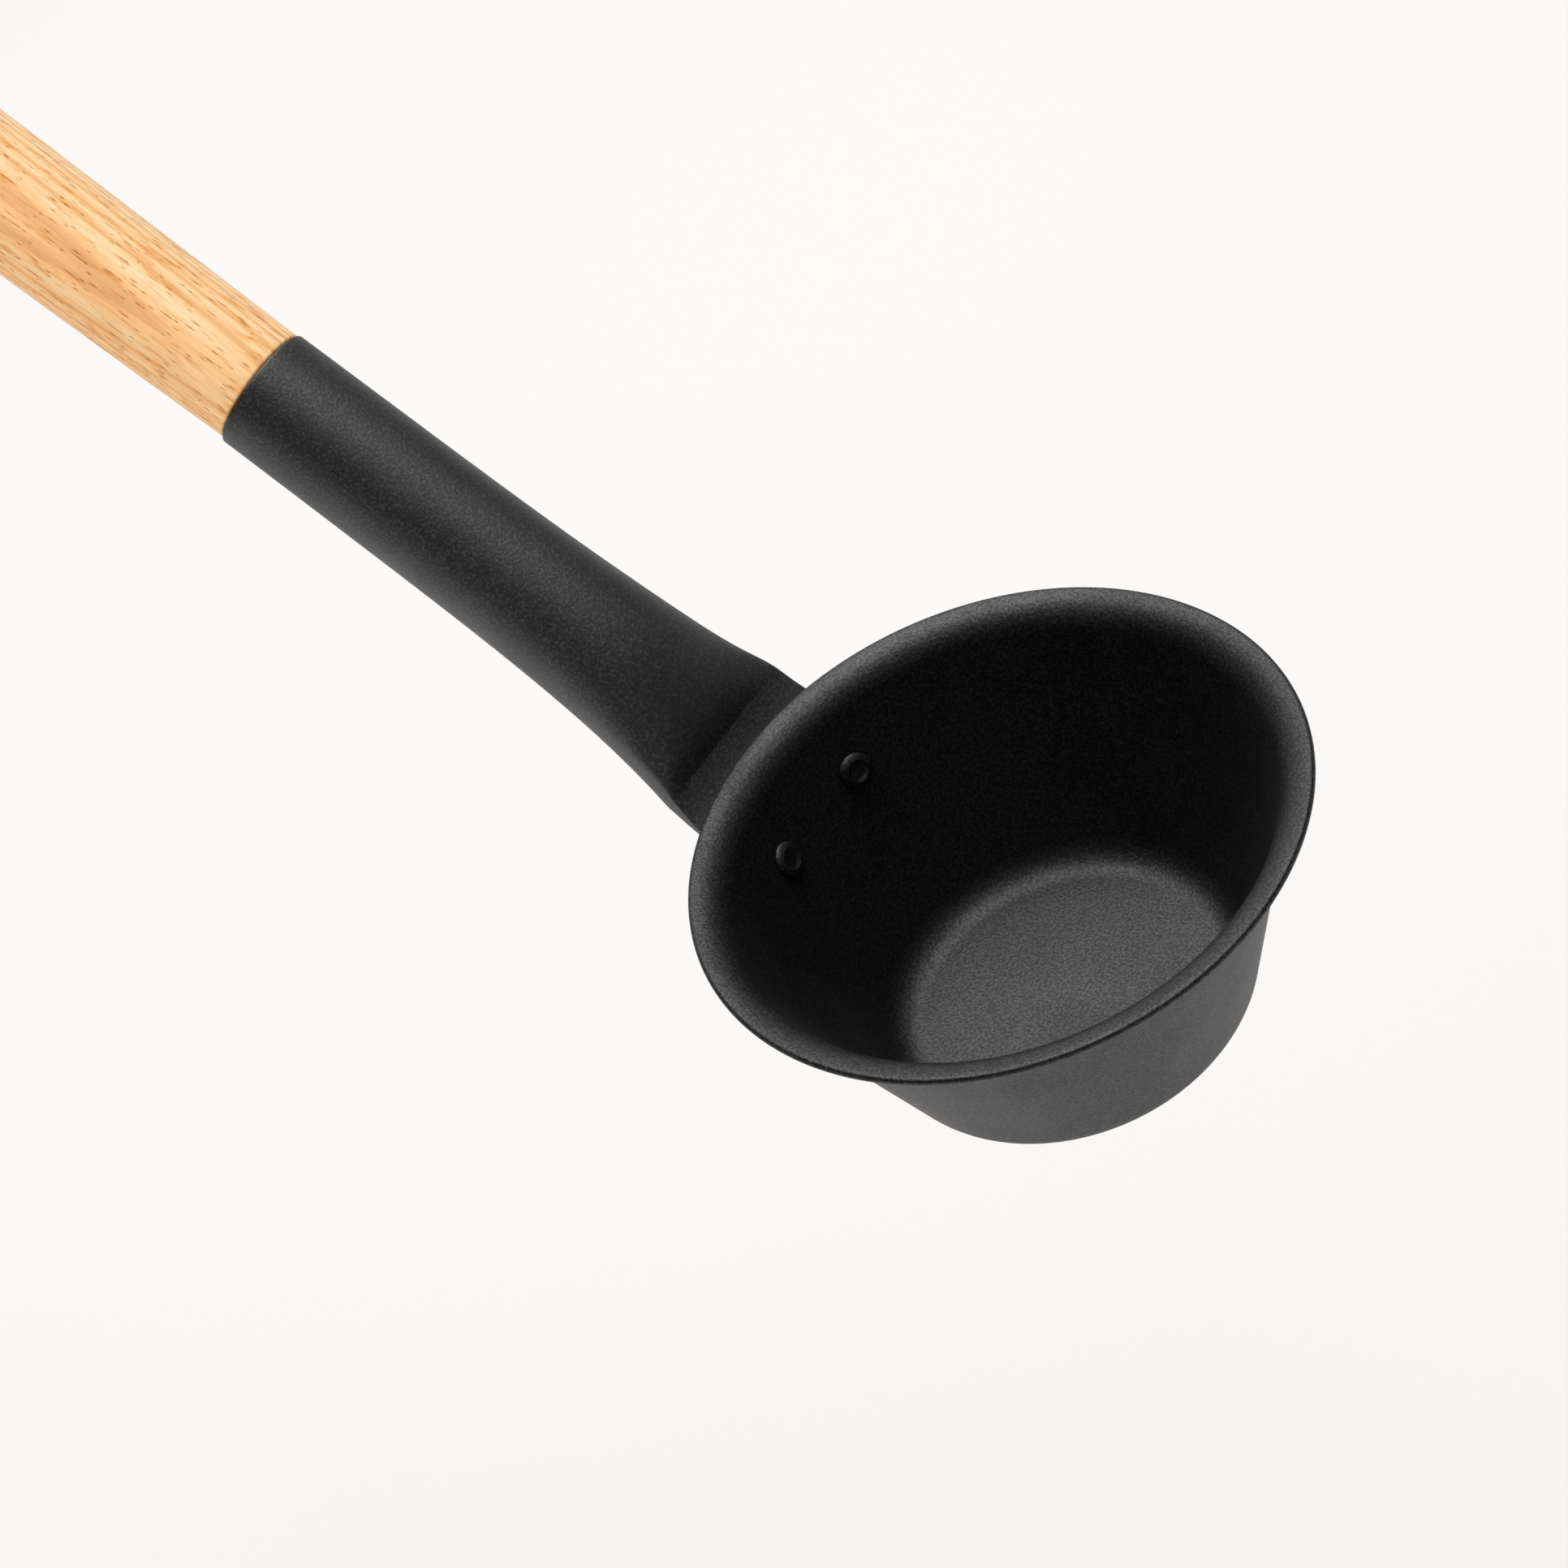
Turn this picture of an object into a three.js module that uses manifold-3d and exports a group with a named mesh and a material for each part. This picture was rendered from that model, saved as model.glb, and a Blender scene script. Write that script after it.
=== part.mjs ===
// A soup ladle: a pressed and coated bowl, riveted to a moulded neck that holds a turned wooden handle.
// Millimetres, +Z up along the bowl's axis, origin in the middle of the bowl's flat underside.
// The handle rises towards -X.

import * as THREE from 'three';
import { mergeVertices } from 'three/addons/utils/BufferGeometryUtils.js';
import Module from 'manifold-3d';

const wasm = await Module();
wasm.setup();

// Bowl, pressed from sheet
const RIM_RADIUS = 45;
const BOWL_HEIGHT = 40;
const BASE_RADIUS = 22.1; // flat part of the underside
const WALL = 1.2;
const BASE_CORNER = 7; // outside radius between base and wall
const LIP_RADIUS = 4.6; // outside radius of the flared lip
const LIP_LEAN = THREE.MathUtils.degToRad(86); // lean of the lip's edge from upright

// Neck moulding: stations run along the handle's axis, outwards from the rim
const HANDLE_RISE = THREE.MathUtils.degToRad(40);
const ROOT_SETBACK = 1; // the handle's axis meets the rim's level this far inside the rim
const NECK_LENGTH = 89;
const FERRULE_RADIUS = 9.4;
const FERRULE_EDGE = 0.4; // chamfer at the ferrule's mouth
const FLARE_START = 85; // the neck widens from here to the crease
const FLARE_POWER = 4.8;
const SADDLE_HALF_WIDTH = 13.6;
const SADDLE_SPREAD = 0.13; // the saddle widens towards the wall, per millimetre
const CROWN_START = 45; // the top bends down from here to the crease
const CROWN_POWER = 3.8;
const CREASE_SETBACK = 4.6; // crease between the crown and the ledge under the rim
const CREASE_SQUARENESS = 5; // how much squarer than an ellipse the section is at the crease
const CREASE_POWER = 4.5; // how late in that bend it becomes so
const LEDGE_RISE = 0.3; // the crease's height over the axis
const LEDGE_FALL = 1; // the ledge eases down to the axis's other side
const LEDGE_RUN = 6; // over this length
const EDGE_ROUND = 0.7; // rounding of the ledge's side edges
const BELLY_SLOPE = 0.045; // the underside leaves the axis, per millimetre
const CHIN_SETBACK = 5; // the underside turns towards the wall here
const CHIN_SLOPE = 0.15; // and closes on the axis again, per millimetre
const CHIN_ROUND = 2; // softness of that turn
const FLANK_TAPER = 0.25; // how much leaner than an ellipse the saddle's flanks are
const FLANK_TAPER_RUN = 7; // stations over which they become so
const SADDLE_REACH = 24; // how far the untrimmed saddle runs inside the rim

// Handle, turned from wood
const SHOULDER_RADIUS = 9.1;
const SHOULDER_EDGE = 0.5;
const BELLY_RADIUS = 10.1;
const BELLY_AT = 110; // thickest place, from the shoulder
const HANDLE_LENGTH = 140; // shoulder to tip
const TIP_RADIUS = 9; // where the rounded tip starts
const TIP_LENGTH = 7;
const TENON_RADIUS = 6.2;
const TENON_LENGTH = 34;
const TENON_EDGE = 0.8;
const HANGING_HOLE_RADIUS = 3.5;
const HANGING_HOLE_SETBACK = 13; // from the tip
const HANGING_HOLE_EDGE = 0.8;

// Steel stud that ties the tenon to the neck
const STUD_RADIUS = 2.5;
const STUD_EDGE = 0.6;
const STUD_POINT = 4;
const STUD_IN_NECK = 15;
const STUD_IN_WOOD = 26;

// Rivets, square to the wall
const RIVET_SPACING = 18.7;
const RIVET_DROP = 11.7; // below the rim
const RIVET_HEAD_RADIUS = 2.7;
const RIVET_HEAD_HEIGHT = 1;
const RIVET_DIMPLE_RADIUS = 1.7;
const RIVET_DIMPLE_DEPTH = 0.3;
const RIVET_SHANK_RADIUS = 1.6;
const RIVET_TAIL_RADIUS = 2.6;
const RIVET_TAIL_HEIGHT = 1;
const SADDLE_GRIP = 2.3; // saddle left between the wall and the washer's seat
const WASHER_RADIUS = 3.3;
const WASHER_THICKNESS = 0.8;

// Clearances
const FIT_GAP = 0.3; // between pieces that seat on or in each other
const POCKET_GAP = 0.5; // round a washer in its pocket
const CUT_RUN = 40; // cutters run this far past what they cut
const BORE_LEAD = 10; // rivet bores start this far inside the wall

// Facets
const BOWL_FACETS = 72;
const HANDLE_FACETS = 40;
const NECK_FACETS = 44;
const SMALL_FACETS = 24;
const CORNER_STEPS = 5;
const LIP_STEPS = 7;
const SWELL_STEPS = 12;
const FLARE_STEPS = 10;
const CROWN_STEPS = 22;
const LEDGE_STEPS = 4;
const SADDLE_STEPS = 4;

const QUARTER = Math.PI / 2;

// Solids and meshes

function toSolid(geometry) {
  const bare = geometry.index ? geometry.toNonIndexed() : geometry.clone();
  bare.deleteAttribute('normal');
  bare.deleteAttribute('uv');
  const merged = mergeVertices(bare, 1e-4);
  const corners = merged.index.array;
  const triangles = [];
  for (let i = 0; i < corners.length; i += 3) {
    const [a, b, c] = corners.slice(i, i + 3);
    if (a !== b && b !== c && c !== a) triangles.push(a, b, c);
  }
  return new wasm.Manifold(new wasm.Mesh({
    numProp: 3,
    vertProperties: new Float32Array(merged.attributes.position.array),
    triVerts: new Uint32Array(triangles),
  }));
}

function toGeometry(solid) {
  const mesh = solid.getMesh();
  const geometry = new THREE.BufferGeometry();
  geometry.setAttribute('position', new THREE.BufferAttribute(mesh.vertProperties, 3));
  geometry.setIndex(new THREE.BufferAttribute(mesh.triVerts, 1));
  geometry.computeVertexNormals();
  return geometry;
}

function piece(name, geometry, material) {
  const mesh = new THREE.Mesh(geometry, material);
  mesh.name = name;
  return mesh;
}

// How far a value has come from one end to the other, 0 to 1
function share(from, to, at) {
  return THREE.MathUtils.clamp((at - from) / (to - from), 0, 1);
}

// Evenly spaced values after the first end, up to and with the other
function spaced(from, to, steps) {
  return Array.from({ length: steps }, (_, i) => from + ((to - from) * (i + 1)) / steps);
}

// Points [radius, z] of an arc about a centre, from one direction to another
function arc([centreR, centreZ], [radiusR, radiusZ], from, to, steps) {
  return [from, ...spaced(from, to, steps)].map((angle) => [
    centreR + radiusR * Math.cos(angle),
    centreZ + radiusZ * Math.sin(angle),
  ]);
}

// A profile of [radius, z] points, bottom to top on the outside, turned about Z
function turned(profile, facets) {
  const points = profile.map(([radius, z]) => new THREE.Vector2(radius, z));
  return new THREE.LatheGeometry(points, facets).rotateX(QUARTER);
}

function rod(radius, fromZ, toZ, facets) {
  return turned([[0, fromZ], [radius, fromZ], [radius, toZ], [0, toZ]], facets);
}

// A closed skin over rings of equal point count, with a flat cap on each end
function loft(rings) {
  const count = rings[0].length;
  const positions = rings.flat().flatMap((point) => point.toArray());
  const indices = [];
  for (let ring = 0; ring + 1 < rings.length; ring += 1) {
    for (let i = 0; i < count; i += 1) {
      const [a, b] = [ring * count + i, ring * count + ((i + 1) % count)];
      indices.push(a, b, b + count, a, b + count, a + count);
    }
  }
  for (const ring of [0, rings.length - 1]) {
    const middle = positions.length / 3;
    const centre = new THREE.Vector3();
    rings[ring].forEach((point) => centre.addScaledVector(point, 1 / count));
    positions.push(...centre.toArray());
    for (let i = 0; i < count; i += 1) {
      const [a, b] = [ring * count + i, ring * count + ((i + 1) % count)];
      indices.push(middle, ...(ring === 0 ? [b, a] : [a, b]));
    }
  }
  const geometry = new THREE.BufferGeometry();
  geometry.setAttribute('position', new THREE.Float32BufferAttribute(positions, 3));
  geometry.setIndex(indices);
  return geometry;
}

// Bowl profile: base corner, straight wall and flared lip, tangent to each other

const rimEdge = [RIM_RADIUS - WALL / 2, BOWL_HEIGHT - WALL / 2];
const cornerCentre = [BASE_RADIUS, BASE_CORNER];
const lipCentre = [
  rimEdge[0] + (LIP_RADIUS + WALL / 2) * Math.cos(LIP_LEAN),
  rimEdge[1] - (LIP_RADIUS + WALL / 2) * Math.sin(LIP_LEAN),
];
const centresApart = [lipCentre[0] - cornerCentre[0], lipCentre[1] - cornerCentre[1]];
const wallLean = Math.atan2(...centresApart)
  - Math.asin((BASE_CORNER + LIP_RADIUS) / Math.hypot(...centresApart));

// One side of the sheet, base to rim, moved inwards from the outer side by an offset
function bowlSide(offset) {
  const corner = BASE_CORNER - offset;
  const lip = LIP_RADIUS + offset;
  return [
    ...arc(cornerCentre, [corner, corner], -QUARTER, -wallLean, CORNER_STEPS),
    ...arc(lipCentre, [lip, lip], Math.PI - wallLean, Math.PI - LIP_LEAN, LIP_STEPS),
  ];
}

// The rounded edge between the two sides, without its ends
function rimBead(radius) {
  return arc(rimEdge, [radius, radius], -LIP_LEAN, Math.PI - LIP_LEAN, CORNER_STEPS).slice(1, -1);
}

function wallRadius(height) {
  const foot = bowlSide(0)[CORNER_STEPS];
  return foot[0] + (height - foot[1]) * Math.tan(wallLean);
}

// Everything inside the bowl's outer side, grown by the fit gap: it trims the saddle to the wall
function bowlEnvelope() {
  const outside = [...bowlSide(-FIT_GAP), ...rimBead(WALL / 2 + FIT_GAP)];
  const top = outside.at(-1)[1];
  return turned([[0, -FIT_GAP], ...outside, [0, top]], BOWL_FACETS);
}

// Rivet frames: origin on the wall's outer side, local +Z outwards and square to the wall

const rivetHeight = BOWL_HEIGHT - RIVET_DROP;
const rivetReach = wallRadius(rivetHeight);
const rivetSpread = Math.asin(RIVET_SPACING / 2 / rivetReach);

function rivetFrame(side) {
  const frame = new THREE.Group();
  const azimuth = Math.PI - side * rivetSpread;
  frame.position.set(rivetReach * Math.cos(azimuth), rivetReach * Math.sin(azimuth), rivetHeight);
  frame.rotation.set(0, QUARTER + wallLean, azimuth, 'ZYX');
  frame.updateMatrixWorld();
  return frame;
}

const rivetFrames = { left: rivetFrame(1), right: rivetFrame(-1) };

function rivetCutter(frame, radius, fromZ) {
  return rod(radius, fromZ, CUT_RUN, SMALL_FACETS).applyMatrix4(frame.matrixWorld);
}

// Handle frame: local +Z outwards along the handle, local +X square to it and up

const handleFrame = new THREE.Group();
handleFrame.position.set(ROOT_SETBACK - RIM_RADIUS, 0, rimEdge[1]);
handleFrame.rotation.y = HANDLE_RISE - QUARTER;
handleFrame.updateMatrixWorld();

// Bowl

function bowl() {
  const inner = bowlSide(WALL).reverse();
  const sheet = [[0, 0], ...bowlSide(0), ...rimBead(WALL / 2), ...inner, [0, WALL]];
  let solid = toSolid(turned(sheet, BOWL_FACETS));
  for (const frame of Object.values(rivetFrames)) {
    solid = solid.subtract(toSolid(rivetCutter(frame, RIVET_SHANK_RADIUS + FIT_GAP, -BORE_LEAD)));
  }
  return toGeometry(solid);
}

// Neck moulding: a round ferrule flares, bends down to a straight crease and ends in a flat ledge

function underside(z) {
  const belly = FERRULE_RADIUS + BELLY_SLOPE * (NECK_LENGTH - z);
  const turn = FERRULE_RADIUS + BELLY_SLOPE * (NECK_LENGTH - CHIN_SETBACK);
  const chin = turn - CHIN_SLOPE * (CHIN_SETBACK - z);
  return (belly + chin - Math.hypot(belly - chin, CHIN_ROUND) + CHIN_ROUND) / 2;
}

function neckRing(z) {
  const flare = share(FLARE_START, CREASE_SETBACK, z) ** FLARE_POWER;
  const bend = share(CROWN_START, CREASE_SETBACK, z) ** CROWN_POWER;
  const pastCrease = Math.max(0, CREASE_SETBACK - z);
  const mouth = FERRULE_EDGE * share(NECK_LENGTH - FERRULE_EDGE, NECK_LENGTH, z);
  const widening = (SADDLE_HALF_WIDTH - FERRULE_RADIUS) * flare + SADDLE_SPREAD * pastCrease;
  const halfWidth = FERRULE_RADIUS + widening - mouth;
  const fall = LEDGE_FALL * Math.sin(QUARTER * share(CREASE_SETBACK, CREASE_SETBACK - LEDGE_RUN, z));
  const top = FERRULE_RADIUS - (FERRULE_RADIUS - LEDGE_RISE) * bend - fall - mouth;
  const waist = (LEDGE_RISE - EDGE_ROUND) * bend - fall;
  const bottom = underside(z) - mouth;
  const crownPower = 2 / (2 + CREASE_SQUARENESS * bend ** CREASE_POWER);
  const flankPower = 1 + FLANK_TAPER * share(CHIN_SETBACK, CHIN_SETBACK - FLANK_TAPER_RUN, z);
  return spaced(0, 2 * Math.PI, NECK_FACETS).map((angle) => {
    const [across, up] = [Math.cos(angle), Math.sin(angle)];
    const power = up > 0 ? crownPower : flankPower;
    const height = up > 0 ? top - waist : waist + bottom;
    return new THREE.Vector3(
      waist + height * Math.sign(up) * Math.abs(up) ** power,
      halfWidth * Math.sign(across) * Math.abs(across) ** power,
      z,
    );
  });
}

function neckMoulding() {
  const stations = [
    NECK_LENGTH,
    NECK_LENGTH - FERRULE_EDGE,
    FLARE_START,
    ...spaced(FLARE_START, CROWN_START, FLARE_STEPS),
    ...spaced(CROWN_START, CREASE_SETBACK, CROWN_STEPS),
    ...spaced(CREASE_SETBACK, CREASE_SETBACK - LEDGE_RUN, LEDGE_STEPS),
    ...spaced(CREASE_SETBACK - LEDGE_RUN, -SADDLE_REACH, SADDLE_STEPS),
  ];
  const toNeck = handleFrame.matrixWorld.clone().invert();
  const socketEnd = NECK_LENGTH - TENON_LENGTH - FIT_GAP;
  const studEnd = socketEnd - STUD_IN_NECK - FIT_GAP;
  const cutters = [
    bowlEnvelope().applyMatrix4(toNeck),
    rod(TENON_RADIUS + FIT_GAP, socketEnd, NECK_LENGTH + CUT_RUN, HANDLE_FACETS),
    rod(STUD_RADIUS + FIT_GAP, studEnd, NECK_LENGTH, SMALL_FACETS),
  ];
  for (const frame of Object.values(rivetFrames)) {
    const bore = rivetCutter(frame, RIVET_SHANK_RADIUS + FIT_GAP, -BORE_LEAD);
    const pocket = rivetCutter(frame, WASHER_RADIUS + POCKET_GAP, SADDLE_GRIP);
    cutters.push(bore.applyMatrix4(toNeck), pocket.applyMatrix4(toNeck));
  }
  const blank = toSolid(loft(stations.map(neckRing)));
  return toGeometry(cutters.reduce((solid, cutter) => solid.subtract(toSolid(cutter)), blank));
}

// Handle: tenon, shoulder, a long swell and a rounded tip with a hanging hole

const shoulder = NECK_LENGTH + FIT_GAP;
const tenonEnd = NECK_LENGTH - TENON_LENGTH;
const tip = shoulder + HANDLE_LENGTH;

function handleRadius(along) {
  const swell = Math.sin(QUARTER * share(0, BELLY_AT, along));
  const taper = 1 - Math.cos(QUARTER * share(BELLY_AT, HANDLE_LENGTH - TIP_LENGTH, along));
  return SHOULDER_RADIUS + (BELLY_RADIUS - SHOULDER_RADIUS) * swell - (BELLY_RADIUS - TIP_RADIUS) * taper;
}

// A cross hole along Y with both ends eased
function hangingHole() {
  const wide = HANGING_HOLE_RADIUS + HANGING_HOLE_EDGE + BELLY_RADIUS;
  const easeFrom = BELLY_RADIUS - HANGING_HOLE_EDGE;
  const hole = turned([
    [0, -2 * BELLY_RADIUS],
    [wide, -2 * BELLY_RADIUS],
    [HANGING_HOLE_RADIUS, -easeFrom],
    [HANGING_HOLE_RADIUS, easeFrom],
    [wide, 2 * BELLY_RADIUS],
    [0, 2 * BELLY_RADIUS],
  ], SMALL_FACETS);
  return hole.rotateX(QUARTER).translate(0, 0, tip - HANGING_HOLE_SETBACK);
}

function handle() {
  const swell = [
    SHOULDER_EDGE,
    ...spaced(SHOULDER_EDGE, BELLY_AT, SWELL_STEPS),
    ...spaced(BELLY_AT, HANDLE_LENGTH - TIP_LENGTH, CORNER_STEPS),
  ];
  const profile = [
    [0, tenonEnd],
    [TENON_RADIUS - TENON_EDGE, tenonEnd],
    [TENON_RADIUS, tenonEnd + TENON_EDGE],
    [TENON_RADIUS, shoulder],
    [SHOULDER_RADIUS - SHOULDER_EDGE, shoulder],
    ...swell.map((along) => [handleRadius(along), shoulder + along]),
    ...arc([0, tip - TIP_LENGTH], [TIP_RADIUS, TIP_LENGTH], 0, QUARTER, LIP_STEPS).slice(1, -1),
    [0, tip],
  ];
  const studTip = tenonEnd + STUD_IN_WOOD + FIT_GAP;
  const studHole = rod(STUD_RADIUS + FIT_GAP, tenonEnd - CUT_RUN, studTip, SMALL_FACETS);
  const blank = toSolid(turned(profile, HANDLE_FACETS));
  return toGeometry(blank.subtract(toSolid(studHole)).subtract(toSolid(hangingHole())));
}

// Stud: plain end in the neck, pointed end in the wood

function handleStud() {
  const from = tenonEnd - FIT_GAP - STUD_IN_NECK;
  const to = tenonEnd + STUD_IN_WOOD;
  return turned([
    [0, from],
    [STUD_RADIUS - STUD_EDGE, from],
    [STUD_RADIUS, from + STUD_EDGE],
    [STUD_RADIUS, to - STUD_POINT],
    [0, to],
  ], SMALL_FACETS);
}

// Rivet: a low dimpled head inside the bowl, a shank and a set tail outside the saddle

const wallSag = RIVET_HEAD_RADIUS ** 2 / (2 * rivetReach); // the wall curves up to the head's edge
const headSeat = -WALL - FIT_GAP - wallSag;
const washerSeat = SADDLE_GRIP + FIT_GAP;
const tailSeat = washerSeat + WASHER_THICKNESS + FIT_GAP;

function rivet() {
  const dimpleAngle = Math.acos(RIVET_DIMPLE_RADIUS / RIVET_HEAD_RADIUS);
  const crown = headSeat - RIVET_HEAD_HEIGHT * Math.sin(dimpleAngle);
  const headArc = [RIVET_HEAD_RADIUS, RIVET_HEAD_HEIGHT];
  const tailArc = [RIVET_TAIL_RADIUS, RIVET_TAIL_HEIGHT];
  return turned([
    [0, crown + RIVET_DIMPLE_DEPTH],
    [RIVET_DIMPLE_RADIUS - 2 * RIVET_DIMPLE_DEPTH, crown + RIVET_DIMPLE_DEPTH],
    ...arc([0, headSeat], headArc, -dimpleAngle, 0, CORNER_STEPS),
    [RIVET_SHANK_RADIUS, headSeat],
    [RIVET_SHANK_RADIUS, tailSeat],
    ...arc([0, tailSeat], tailArc, 0, QUARTER, CORNER_STEPS).slice(0, -1),
    [0, tailSeat + RIVET_TAIL_HEIGHT],
  ], SMALL_FACETS);
}

function washer() {
  const bore = RIVET_SHANK_RADIUS + FIT_GAP;
  return turned([
    [bore, washerSeat],
    [WASHER_RADIUS, washerSeat],
    [WASHER_RADIUS, washerSeat + WASHER_THICKNESS],
    [bore, washerSeat + WASHER_THICKNESS],
    [bore, washerSeat],
  ], SMALL_FACETS);
}

// Finishes

function finish(color, roughness, metalness) {
  return new THREE.MeshStandardMaterial({ color, roughness, metalness });
}

// Assembly

const ladle = new THREE.Group();
ladle.add(piece('bowl', bowl(), finish('#1d1d1f', 0.55, 0.1)));
handleFrame.add(piece('neck_moulding', neckMoulding(), finish('#232324', 0.6, 0)));
handleFrame.add(piece('handle', handle(), finish('#e0b073', 0.5, 0)));
handleFrame.add(piece('handle_stud', handleStud(), finish('#9a9c9f', 0.35, 1)));
ladle.add(handleFrame);
for (const [side, frame] of Object.entries(rivetFrames)) {
  frame.add(piece(`rivet_${side}`, rivet(), finish('#1b1b1d', 0.5, 0.1)));
  frame.add(piece(`rivet_washer_${side}`, washer(), finish('#9a9c9f', 0.35, 1)));
  ladle.add(frame);
}

export default ladle;
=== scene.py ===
"""A soup ladle: a pressed and coated bowl, riveted to a moulded neck that holds a turned wooden handle.

Sizes are in millimetres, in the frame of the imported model: +Z up along the bowl's axis, origin in the
middle of the bowl's underside, handle rising towards -X. Meshes become metres when they are made.
"""

import math

import bmesh
import bpy
from mathutils import Matrix, Vector


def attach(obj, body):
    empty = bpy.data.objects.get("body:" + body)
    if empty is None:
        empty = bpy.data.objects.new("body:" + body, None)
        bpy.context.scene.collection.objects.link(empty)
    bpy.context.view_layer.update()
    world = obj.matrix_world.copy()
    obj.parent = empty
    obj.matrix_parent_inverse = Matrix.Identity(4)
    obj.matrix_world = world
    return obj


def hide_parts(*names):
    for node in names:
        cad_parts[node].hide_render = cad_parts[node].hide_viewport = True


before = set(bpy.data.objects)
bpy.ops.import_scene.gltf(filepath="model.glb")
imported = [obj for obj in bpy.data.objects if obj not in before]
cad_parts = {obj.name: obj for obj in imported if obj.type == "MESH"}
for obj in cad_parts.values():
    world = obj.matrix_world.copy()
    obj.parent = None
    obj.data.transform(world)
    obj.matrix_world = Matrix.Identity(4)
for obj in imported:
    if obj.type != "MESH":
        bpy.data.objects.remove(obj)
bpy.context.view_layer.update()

MM = 0.001
QUARTER = math.pi / 2

# Bowl, pressed from sheet
RIM_RADIUS = 45
BOWL_HEIGHT = 40
BASE_RADIUS = 22.1  # flat part of the underside
WALL = 1.2
BASE_CORNER = 7  # outside radius between base and wall
LIP_RADIUS = 4.6  # outside radius of the flared lip
LIP_LEAN = math.radians(86)  # lean of the lip's edge from upright

# Neck moulding: stations run along the handle's axis, outwards from the rim
HANDLE_RISE = math.radians(40)
ROOT_SETBACK = 1  # the handle's axis meets the rim's level this far inside the rim
NECK_LENGTH = 89
FERRULE_RADIUS = 9.4
FERRULE_EDGE = 0.4  # rounding of the ferrule's mouth
FLARE_START = 85  # the neck widens from here to the crease
FLARE_POWER = 4.8
SADDLE_HALF_WIDTH = 13.6
SADDLE_SPREAD = 0.13  # the saddle widens towards the wall, per millimetre
CROWN_START = 45  # the top bends down from here to the crease
CROWN_POWER = 3.8
CREASE_SETBACK = 4.6  # crease between the crown and the ledge under the rim
CREASE_SQUARENESS = 5  # how much squarer than an ellipse the section is at the crease
CREASE_POWER = 4.5  # how late in that bend it becomes so
LEDGE_RISE = 0.3  # the crease's height over the axis
LEDGE_FALL = 1  # the ledge eases down to the axis's other side
LEDGE_RUN = 6  # over this length
EDGE_ROUND = 0.7  # rounding of the ledge's side edges
BELLY_SLOPE = 0.045  # the underside leaves the axis, per millimetre
CHIN_SETBACK = 5  # the underside turns towards the wall here
CHIN_SLOPE = 0.15  # and closes on the axis again, per millimetre
CHIN_ROUND = 2  # softness of that turn
FLANK_TAPER = 0.25  # how much leaner than an ellipse the saddle's flanks are
FLANK_TAPER_RUN = 7  # stations over which they become so
SADDLE_REACH = 24  # how far the untrimmed saddle runs inside the rim

# Handle, turned from wood
SHOULDER_RADIUS = 9.1
SHOULDER_EDGE = 0.5
BELLY_RADIUS = 10.1
BELLY_AT = 110  # thickest place, from the shoulder
HANDLE_LENGTH = 140  # shoulder to tip
TIP_RADIUS = 9  # where the rounded tip starts
TIP_LENGTH = 7
TENON_RADIUS = 6.2
TENON_LENGTH = 34
TENON_EDGE = 0.8
HANGING_HOLE_RADIUS = 3.5
HANGING_HOLE_SETBACK = 13  # from the tip
HANGING_HOLE_EDGE = 0.8

# Bores for the steel stud that ties the tenon to the neck
STUD_RADIUS = 2.5
STUD_IN_NECK = 15
STUD_IN_WOOD = 26

# Rivets, square to the wall
RIVET_SPACING = 18.7
RIVET_DROP = 11.7  # below the rim
RIVET_HEAD_RADIUS = 2.7
RIVET_HEAD_HEIGHT = 1
RIVET_DIMPLE_RADIUS = 1.7
RIVET_DIMPLE_DEPTH = 0.3
RIVET_SHANK_RADIUS = 1.6
RIVET_TAIL_RADIUS = 2.6
RIVET_TAIL_HEIGHT = 1
SADDLE_GRIP = 2.3  # saddle left between the wall and the washer's seat
WASHER_RADIUS = 3.3
WASHER_THICKNESS = 0.8
WASHER_EDGE = 0.15

# Clearances
FIT_GAP = 0.3  # between pieces that seat on or in each other
SEAT_GAP = 0.05  # where that joint is seen: the pieces touch, a hair apart
POCKET_GAP = 0.5  # round a washer in its pocket
CUT_RUN = 40  # cutters run this far past what they cut
BORE_LEAD = 10  # rivet bores start this far inside the wall

# Fineness of the meshes
BOWL_FACETS = 256
HANDLE_FACETS = 128
NECK_FACETS = 160
SMALL_FACETS = 64
CORNER_STEPS = 14
WALL_STEPS = 12
LIP_STEPS = 20
BEAD_STEPS = 10
EDGE_STEPS = 5
STATION = 0.8  # between two sections of the neck
HANDLE_STEP = 2  # between two rings of the handle's swell
MERGE_REACH = 1e-4  # points this close become one
SHARP_EDGE = math.radians(24)  # an edge that bends more than this stays sharp

# Photograph: square, with the camera where the ladle's outline fits it
PHOTO_SIDE = 1932  # pixels
FOCAL_LENGTH = 4500  # pixels
SENSOR = 36
CAMERA_PLACE = (278.14, -229.34, 391.71)
CAMERA_FORWARD = Vector((-0.5995, 0.4319, -0.674)).normalized()
CAMERA_RIGHT = Vector((0.7671, 0.5487, -0.332))
CLIP_START = 10


# Shapes


def share(start, stop, at):
    """How far a value has come from one end to the other, 0 to 1."""
    return min(max((at - start) / (stop - start), 0), 1)


def spaced(start, stop, steps):
    """Evenly spaced values after the first end, up to and with the other."""
    return [start + (stop - start) * (i + 1) / steps for i in range(steps)]


def arc(centre, radii, start, stop, steps):
    """Points (radius, z) of an arc about a centre, from one direction to another."""
    return [
        (centre[0] + radii[0] * math.cos(angle), centre[1] + radii[1] * math.sin(angle))
        for angle in [start, *spaced(start, stop, steps)]
    ]


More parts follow.
